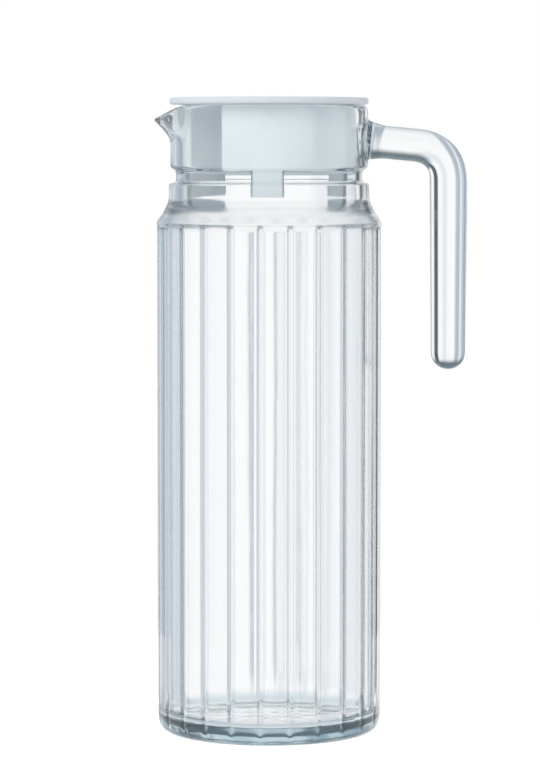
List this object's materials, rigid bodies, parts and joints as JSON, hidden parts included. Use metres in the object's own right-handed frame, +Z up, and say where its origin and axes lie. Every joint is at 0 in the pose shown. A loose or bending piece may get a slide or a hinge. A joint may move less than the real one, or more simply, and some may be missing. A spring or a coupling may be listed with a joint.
{
  "type": "fridge jug",
  "caption": "Slim reeded glass fridge jug with a pouring spout, a hooked glass handle and a frosted plug lid that lifts off and turns to open or shut the spout.",
  "frame": {"origin": "centre of the flat foot, on the surface that the jug stands on", "axes": "+Z up along the jug's axis, +X towards the handle, so the spout points to -X"},
  "size_m": [0.1261, 0.0906, 0.255],
  "materials": {
    "clear_glass": "clear, fire-polished",
    "handle_glass": "clear, fire-polished",
    "cap_plastic": "frosted, translucent",
    "skirt_plastic": "frosted, translucent"
  },
  "bodies": {
    "jug": {"glass_body": "clear_glass", "handle": "handle_glass"},
    "cap": {"lid_cap": "cap_plastic"},
    "skirt": {"lid_skirt": "skirt_plastic"}
  },
  "joints": [
    {"name": "lid_lift", "type": "slide", "parent": "jug", "child": "cap", "axis": [0, 0, 1], "range_m": [0, 0.12]},
    {"name": "lid_turn", "type": "hinge", "parent": "cap", "child": "skirt", "pos_m": [0, 0, 0.24], "axis": [0, 0, 1], "continuous": true}
  ]
}
